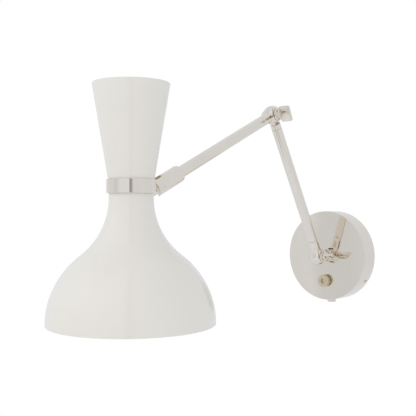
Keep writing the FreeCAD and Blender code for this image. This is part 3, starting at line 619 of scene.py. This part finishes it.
def knuckle(name, node, body, here, rest, joint):
    """Ball with two flats, open to the other arm's tongue over its travel, on a neck for its tube."""
    ball, flat, slot, hollow, neck = 11.4, 8.0, 4.2, 10.0, ARM_RADIUS
    wire_start, wire_end = 9.0, 21.5
    low, high = joints[joint]["range_deg"]
    meet = math.degrees(math.asin(neck / ball))
    outline = [(0, PLUG_END), (0, -ball)] + arc((0, 0), ball, -90, 90 - meet, 64)[1:]
    outline += [(neck, NECK_END, 0.25), (PLUG_RADIUS, NECK_END), (PLUG_RADIUS, PLUG_END, 0.4)]
    thing = turned(name, outline, here, around=160)
    flats = [slab("cutter", [(-20, -20), (20, -20), (20, 20), (-20, 20)], *run, here)
             for run in ((flat, 30), (-30, -flat))]
    pocket = turned("cutter", [(0, -slot), (hollow, -slot), (hollow, slot), (0, slot)],
                    turned_by(here, 90, "Y"), around=160)
    sweep = neck_sweep(rest - high, rest - low, slot, here)
    opening = [(-1.2, wire_start), (1.2, wire_start), (1.2, wire_end), (-1.2, wire_end)]
    wire_slot = slab("cutter", opening, WIRE_BORE + 0.3, flat, turned_by(here, 12, "Z"))
    carve(thing, "DIFFERENCE", *flats, pocket, sweep, wire_slot, rod(HINGE_BORE, -20, 20, here, X),
          rod(WIRE_BORE, 2, 60, here))
    bevelled(thing, 0.3, angle=30)

    def inside(spot):
        in_pocket = abs(spot.x) < slot + 0.1 and spot.yz.length < hollow + 0.3
        in_channel = spot.xy.length < WIRE_BORE + 0.4 and spot.z > 5.0
        in_wire_slot = spot.xy.length < neck - 0.4 and wire_start + 0.2 < spot.z < wire_end + 0.1
        return in_pocket or in_channel or in_wire_slot

    # The pocket, the wire channel and the wire slot take the brownish painted shadow
    paint_hollow_shadow(thing, here, inside)
    stand_for(thing, body, "polished_nickel", node)


def tongue(name, node, body, here, extras, cutters):
    """Flat tongue with a round end about the hinge, on a round collar."""
    eye, neck, collar = 9.5, NECK_HALF, COLLAR_START + 0.5
    meet = math.degrees(math.asin(neck / eye))
    outline = [(-neck, collar)] + arc((0, 0), eye, 90 + meet, 450 - meet, 72) + [(neck, collar)]
    thing = slab(name, outline, -TONGUE_HALF, TONGUE_HALF, here)
    carve(thing, "UNION", *extras)
    carve(thing, "DIFFERENCE", rod(HINGE_BORE, -20, 20, here, X), *cutters)
    bevelled(thing, 0.3, angle=35)
    # Faces inside the collar take the brownish painted shadow
    paint_hollow_shadow(thing, here, lambda spot: spot.z > COLLAR_START + 0.3 and spot.xy.length < 5.7)
    stand_for(thing, body, "polished_nickel", node)


def paddle_screw(name, node, body, here):
    """Clamping screw: shank, flange, short neck and a flat paddle with pillowed edges."""
    seat, thick, width, half, corner = 8.3, 1.3, 15.8, 9.8, 2.4
    shank, flange = 2.5, 7.6
    start = seat + 3.9
    end = start + width
    outline = []
    for cx, cy, first in ((end - corner, half - corner, 0), (start + corner, half - corner, 90),
                          (start + corner, corner - half, 180), (end - corner, corner - half, 270)):
        outline += arc((cx, cy), corner, first, first + 90, 8)
    bm = bmesh.new()
    layers = []
    for height, inset in ((-thick, 0.75), (-thick * 0.8, 0.28), (-thick * 0.35, 0.0), (thick * 0.35, 0.0),
                          (thick * 0.8, 0.28), (thick, 0.75)):
        middle = Vector(((start + end) / 2, 0))
        ring = []
        for x, y in outline:
            away = Vector((x, y)) - middle
            away = Vector((away.x * (1 - inset / (width / 2)), away.y * (1 - inset / half)))
            ring.append(bm.verts.new((middle.x + away.x, height, away.y)))
        layers.append(ring)
    count = len(outline)
    for lower, upper in zip(layers, layers[1:]):
        for index in range(count):
            after = (index + 1) % count
            bm.faces.new((lower[index], lower[after], upper[after], upper[index]))
    bm.faces.new(layers[0])
    bm.faces.new(layers[-1])
    thing = finished(name, bm, here, sharp=50)
    body_outline = [(0, -13.0), (shank, -13.0, 0.5), (shank, seat, 0.15), (flange, seat, 0.25),
                    (flange, seat + 2.3, 0.7), (3.9, seat + 2.3, 0.5), (3.6, start + 0.4, 0.3),
                    (0, start + 0.4)]
    carve(thing, "UNION", turned("cutter", body_outline, turned_by(here, 90, "Y"), around=96))
    smoothed(thing.data, 40)
    dress(thing, NICKEL)
    stand_for(thing, body, "polished_nickel", node)


def domed_nut(name, node, body, here):
    """Cap nut: bevelled hexagon with a polished dome."""
    seat, flats = 8.1, 5.5
    corner = flats / math.cos(math.pi / 6)
    nut = turned(name, [(HINGE_BORE, seat), (corner, seat, 0.2), (corner, seat + 3.0), (flats, seat + 3.6),
                        (5.2, seat + 3.6), (5.15, seat + 4.2), (4.4, seat + 5.6), (2.8, seat + 6.4),
                        (0, seat + 6.6), (0, seat + 5.2), (HINGE_BORE, seat + 5.2)],
                 turned_by(here, -90, "Y"), around=96)
    outline = [(corner * math.cos(TURN * i / 6), corner * math.sin(TURN * i / 6)) for i in range(6)]
    hexagon = slab("cutter", outline, -seat - 9, -seat + 1, here)
    carve(nut, "INTERSECT", hexagon)
    bevelled(nut, 0.15, segments=2, angle=25)
    dress(nut, NICKEL)
    stand_for(nut, body, "polished_nickel", node)


def turn_of(matrix):
    """Degrees that a frame's z axis is turned about x from straight up."""
    along = matrix.to_3x3() @ Z
    return math.degrees(math.atan2(-along.y, along.z))


def elbow_tongue():
    """Tongue at the lower arm's top, standing in the mouth of a collar that plugs the tube."""
    mouth, depth, mouth_radius = COLLAR_START, 4.0, 5.5
    floor_of_mouth = mouth + depth
    joint = mouth + 5.9
    plug_end = mouth + 15.0
    collar = turned("cutter", [(0, floor_of_mouth), (mouth_radius, floor_of_mouth, 0.3),
                               (mouth_radius, mouth, 0.2), (ARM_RADIUS, mouth, 0.4),
                               (ARM_RADIUS, joint, 0.2), (PLUG_RADIUS, joint),
                               (PLUG_RADIUS, plug_end, 0.4), (0, plug_end)], LOWER_TOP, around=96)
    root = rod(6.05, mouth - 0.5, floor_of_mouth + 0.5, LOWER_TOP, around=96)
    flat = [(-NECK_HALF, mouth - 1), (NECK_HALF, mouth - 1),
            (NECK_HALF, floor_of_mouth + 1), (-NECK_HALF, floor_of_mouth + 1)]
    carve(root, "INTERSECT", slab("cutter", flat, -TONGUE_HALF, TONGUE_HALF, LOWER_TOP))
    tongue("elbow_tongue", "lower_arm_elbow_tongue", "lower_arm", LOWER_TOP, [collar, root], [])


def arms():
    """Both tubes, their knuckles and tongue, the paddle screws and the cap nuts."""
    lower_length = (elbow_hinge - base_hinge).length / MM
    upper_length = (shade_hinge - elbow_hinge).length / MM
    tube_start = NECK_END + 0.2
    tube_between("lower_tube", "lower_arm_tube", "lower_arm", LOWER_ARM, tube_start,
                 lower_length - COLLAR_START - 6.1)
    tube_between("upper_tube", "upper_arm_tube", "upper_arm", UPPER_ARM, tube_start, upper_length - 14.6,
                 groove=upper_length - SLEEVE_SCREW)
    knuckle("base_knuckle", "lower_arm_base_knuckle", "lower_arm", LOWER_ARM,
            -90 - turn_of(LOWER_ARM), "lower_arm_hinge")
    knuckle("elbow_knuckle", "upper_arm_elbow_knuckle", "upper_arm", UPPER_ARM,
            turn_of(LOWER_ARM) + 180 - turn_of(UPPER_ARM), "elbow_hinge")
    elbow_tongue()
    paddle_screw("base_paddle_screw", "base_clamping_screw", "base_screw",
                 place(base_hinge, Matrix.Rotation(math.radians(70), 3, "X") @ Z))
    paddle_screw("elbow_paddle_screw", "elbow_clamping_screw", "elbow_screw",
                 place(elbow_hinge, Matrix.Rotation(math.radians(24), 3, "X") @ Z))
    domed_nut("base_domed_nut", "base_cap_nut", "lower_arm", LOWER_ARM)
    domed_nut("elbow_domed_nut", "elbow_cap_nut", "upper_arm", UPPER_ARM)


def sleeve():
    """Sleeve that turns on the upper arm: rounded shoulder, straight slot and a pin hole."""
    radius = size_of("shade_sleeve").x / 2 / MM
    back, front, bore, bore_end = -34.5, 6.0, ARM_RADIUS + 0.05, -13.0
    outline = [(bore, back, 0.3), (radius, back, 3.4), (radius, front, 0.3), (0, front), (0, bore_end),
               (bore, bore_end)]
    thing = turned("arm_sleeve", outline, SLEEVE, around=128)
    half, slot_back = 3.8, 8.4
    run = [(-half, 8.0)] + arc((0, half - slot_back), half, 180, 360, 24) + [(half, 8.0)]
    slot = slab("cutter", [(-x, z) for x, z in run], -14, 14, turned_by(SLEEVE, 90, "Z"))
    carve(thing, "DIFFERENCE", slot, rod(2.02, -12, 12, SLEEVE, X), rod(WIRE_BORE, -20, 0, SLEEVE),
          rod(1.62, -14, -2, shifted(SLEEVE, z=-SLEEVE_SCREW), Y))
    bevelled(thing, 0.2, segments=2, angle=35)
    # Faces inside the slot take the brownish painted shadow
    paint_hollow_shadow(thing, SLEEVE,
                lambda spot: abs(spot.x) < half + 0.05 and bore_end - 0.5 < spot.z < half - slot_back + 0.1)
    stand_for(thing, "sleeve", "polished_nickel", "shade_sleeve")


# ---------------------------------------------------------------- canopy

def canopy():
    """Spun cup with a crisp front edge and holes for the stem, the switch and the side screws."""
    radius = size_of("canopy_shell").x / 2 / MM
    depth = size_of("canopy_shell").y / MM
    outline = [(0, depth - SHEET), (radius - SHEET, depth - SHEET, 0.8), (radius - SHEET, 0, 0.3),
               (radius, 0, 0.3), (radius, depth, 0.7), (0, depth)]
    cup = turned("canopy_cup", outline, WALL, around=224)
    drop = centre_of("switch_knob").z / MM
    holes = [rod(7.5, depth - 5, depth + 5, WALL), rod(5.1, depth - 5, depth + 5, shifted(WALL, y=drop))]
    thumb_height = -centre_of("canopy_thumb_screw").y / MM
    side_height = -centre_of("canopy_side_screws").y / MM
    for angle, height in ((-33, side_height), (-147, side_height), (-90, thumb_height)):
        here = shifted(turned_by(WALL, angle, "Z"), z=height)
        holes.append(rod(2.1, radius - 5, radius + 5, here, X))
    carve(cup, "DIFFERENCE", *holes)
    smoothed(cup.data)
    dress(cup, FACE_NICKEL)
    stand_for(cup, "canopy", "polished_nickel", "canopy_shell")


def switch_knob():
    """Turned disc with a dished middle, on a short hub that holds it off the canopy; its face carries a
    painted brown reflection and its back a brownish painted shadow.
    """
    drop = centre_of("switch_knob").z / MM
    low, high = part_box("switch_knob")
    radius = (high.x - low.x) / 2 / MM
    start, end = -high.y / MM, -low.y / MM
    dish, dish_floor = 3.4, end - 2.7
    hub, back = 4.6, start + 1.1
    bore, bore_end = 2.55, start + 2.5
    outline = [(bore, start), (hub, start, 0.2), (hub, back, 0.2), (radius, back, 0.4),
               (radius, end, 0.8), (dish, end, 0.5), (dish, dish_floor, 0.5), (0, dish_floor),
               (0, bore_end), (bore, bore_end)]
    here = shifted(WALL, y=drop)
    knob = turned("switch_button", outline, here, around=128, sharp=40)
    # The knob's face takes the painted brown reflection, and its back and hub the brownish painted shadow
    paint_hollow_shadow(knob, here, lambda spot: spot.z < back + 0.1, KNOB_PAINTED_REFLECTION)
    stand_for(knob, "switch", "polished_nickel", "switch_knob")


def thumb_screw():
    """Knurled screw under the canopy."""
    low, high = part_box("canopy_thumb_screw")
    radius = (high.x - low.x) / 2 / MM
    centre = centre_of("canopy_thumb_screw")
    here = place(Vector((0, centre.y, low.z)), Vector((0, 0, -1)))
    length = (high.z - low.z) / MM
    shank, head = 1.65, 3.7
    outline = [(0, -length), (shank, -length, 0.3), (shank, -head, 0.2), (radius, -head, 0.5),
               (radius, 0, 0.6), (radius - 1.4, 0, 0.2), (radius - 2.0, -0.4, 0.2), (0, -0.4)]

    def on_edge(point):
        return point.x > radius - 0.4 and 0.4 - head < point.y < -0.4

    screw = turned("canopy_finger_screw", outline, here, around=168, flutes=28, flute_depth=0.32,
                   fluted=on_edge, sharp=40)
    dress(screw, NICKEL)
    stand_for(screw, "canopy", "polished_nickel", "canopy_thumb_screw")


def stem():
    """Post between the canopy and the base hinge, with a flange on the canopy's face."""
    reach = abs(base_hinge.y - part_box("canopy_shell")[0].y) / MM
    flange, flange_radius, post_radius, journal = reach - 2.7, 9.0, 6.5, 6.0
    seat, end = reach - 0.2, reach + 13.0
    outline = [(0, COLLAR_START), (post_radius, COLLAR_START, 0.4), (post_radius, flange, 0.3),
               (flange_radius, flange, 0.6), (flange_radius, seat, 0.3), (journal, seat),
               (journal, end, 0.5), (0, end)]
    post = turned("cutter", outline, STEM, around=128)
    tongue("stem_column", "stem_post", "stem", STEM, [post], [rod(WIRE_BORE, COLLAR_START, 60, STEM)])


# ---------------------------------------------------------------- carried-over CAD nodes

CARRIED = {
    ZINC: ("wall_plate", "stem_nut", "waist_plate", "waist_plate_screws", "shade_fixing_screws"),
    NICKEL: ("canopy_side_screws", "shade_hinge_pin"),
    # The switch ring nut takes the brownish painted shadow of the gap at the knob's base
    PAINTED_HOLLOW_SHADOW: ("switch_ring_nut",),
    DARK_STEEL: ("sleeve_retaining_screw", "stem_spring_washer"),
    BRASS: ("ground_screw", "switch_collar", "switch_shaft", "lamp_pipe", "lamp_pipe_nuts",
            "upper_lampholder_contact", "lower_lampholder_contact"),
    BLACK_PLASTIC: ("switch_housing", "upper_lampholder_disc", "lower_lampholder_disc"),
    NYLON: ("stem_bushing", "base_friction_washers", "elbow_friction_washers"),
}


def carried_over():
    """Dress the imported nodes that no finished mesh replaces."""
    for material, names in CARRIED.items():
        for name in names:
            node = frame["nodes"][name]
            dress(node, material)
            smoothed(node.data)


# ---------------------------------------------------------------- floor, light and camera

def floor():
    """A round pale floor well below the lamp."""
    bm = bmesh.new()
    bmesh.ops.create_circle(bm, cap_ends=True, segments=128, radius=1000)
    sheet = finished("studio_floor", bm, Matrix.Translation((0, -0.2, -0.62)))
    look = Shader("pale_floor", Roughness=0.9)
    look.link(look.ramp(look.noise(0.8), [(0.3, (0.88, 0.89, 0.91)), (0.7, (0.91, 0.92, 0.94))]),
              look.shader.inputs["Base Color"])
    dress(sheet, look.material)


# Brightness of the studio around the lamp: degrees about z from the front, towards +x, level and tint.
COOL = (0.975, 1.0, 1.055)
WARM = (1.005, 1.0, 0.965)
STUDIO = [(-180, 0.80, COOL), (-105, 0.80, COOL), (-60, 0.78, COOL), (-45, 0.77, COOL), (-36.4, 0.78, COOL),
          (-34.4, 0.71, COOL), (-28, 0.70, COOL), (-20, 0.75, COOL), (-5, 0.85, COOL), (38, 0.86, COOL),
          (41, 0.345, WARM), (48, 0.37, WARM), (57, 0.78, COOL), (105, 0.78, COOL), (150, 0.77, COOL),
          (180, 0.80, COOL)]


def surroundings():
    """Pale studio walls with one narrow dark gap, in front of a plain white backdrop."""
    world = bpy.data.worlds.new("studio")
    scene.world = world
    world.use_nodes = True
    tree = world.node_tree
    tree.nodes.clear()

    def step(kind, *feeds):
        node = tree.nodes.new(kind)
        for output, socket in feeds:
            tree.links.new(output, node.inputs[socket])
        return node

    direction = step("ShaderNodeTexCoord")
    split = step("ShaderNodeSeparateXYZ", (direction.outputs["Generated"], 0))
    ahead = step("ShaderNodeMath", (split.outputs["Y"], 0))
    ahead.operation = "MULTIPLY"
    ahead.inputs[1].default_value = -1.0
    angle = step("ShaderNodeMath", (split.outputs["X"], 0), (ahead.outputs["Value"], 1))
    angle.operation = "ARCTAN2"
    share = step("ShaderNodeMapRange", (angle.outputs["Value"], "Value"))
    share.inputs["From Min"].default_value = -math.pi
    share.inputs["From Max"].default_value = math.pi
    ramp = step("ShaderNodeValToRGB", (share.outputs["Result"], "Fac"))
    elements = ramp.color_ramp.elements
    while len(elements) < len(STUDIO):
        elements.new(0.5)
    for element, (degrees, level, tint) in zip(elements, STUDIO):
        element.position = (degrees + 180) / 360
        element.color = (*(level * part for part in tint), 1.0)
    walls = step("ShaderNodeBackground", (ramp.outputs["Color"], "Color"))
    backdrop = step("ShaderNodeBackground")
    backdrop.inputs["Color"].default_value = (1.0, 1.0, 1.0, 1.0)
    ray = step("ShaderNodeLightPath")
    both = step("ShaderNodeMixShader", (ray.outputs["Is Camera Ray"], 0), (walls.outputs["Background"], 1),
                (backdrop.outputs["Background"], 2))
    step("ShaderNodeOutputWorld", (both.outputs["Shader"], "Surface"))


def soft_light(name, position, target, size, power):
    """Rectangular studio light that leaves no reflection of its own."""
    data = bpy.data.lights.new(name, "AREA")
    data.shape = "RECTANGLE"
    data.size, data.size_y = size
    data.energy = power
    light = bpy.data.objects.new(name, data)
    light.location = position
    light.rotation_euler = (Vector(target) - Vector(position)).to_track_quat("-Z", "Y").to_euler()
    light.visible_glossy = False
    scene.collection.objects.link(light)


def camera():
    """Level view from the right of the lamp, with the lens of a short telephoto."""
    data = bpy.data.cameras.new("camera")
    data.sensor_width = 36.0
    data.lens = 62.62
    data.clip_start = 0.01
    data.clip_end = 60.0
    view = bpy.data.objects.new("camera", data)
    yaw, pitch = math.radians(42.141), math.radians(-0.215)
    ahead = Vector((-math.sin(yaw) * math.cos(pitch), math.cos(yaw) * math.cos(pitch), math.sin(pitch)))
    view.location = (0.54107, -0.86230, 0.06814)
    view.rotation_euler = ahead.to_track_quat("-Z", "Y").to_euler()
    scene.collection.objects.link(view)
    scene.camera = view


upper_cone()
lower_bell()
waist_band()
shade_link()
lampholders()
arms()
sleeve()
canopy()
switch_knob()
thumb_screw()
stem()
carried_over()
floor()
surroundings()
soft_light("key", (-1.5, -1.9, 1.5), (0, -0.3, 0.1), (1.6, 1.6), 12.0)
soft_light("fill", (1.55, -1.9, 0.25), (0, -0.3, 0.1), (1.6, 1.6), 7.0)
camera()
scene.view_settings.view_transform = "Standard"
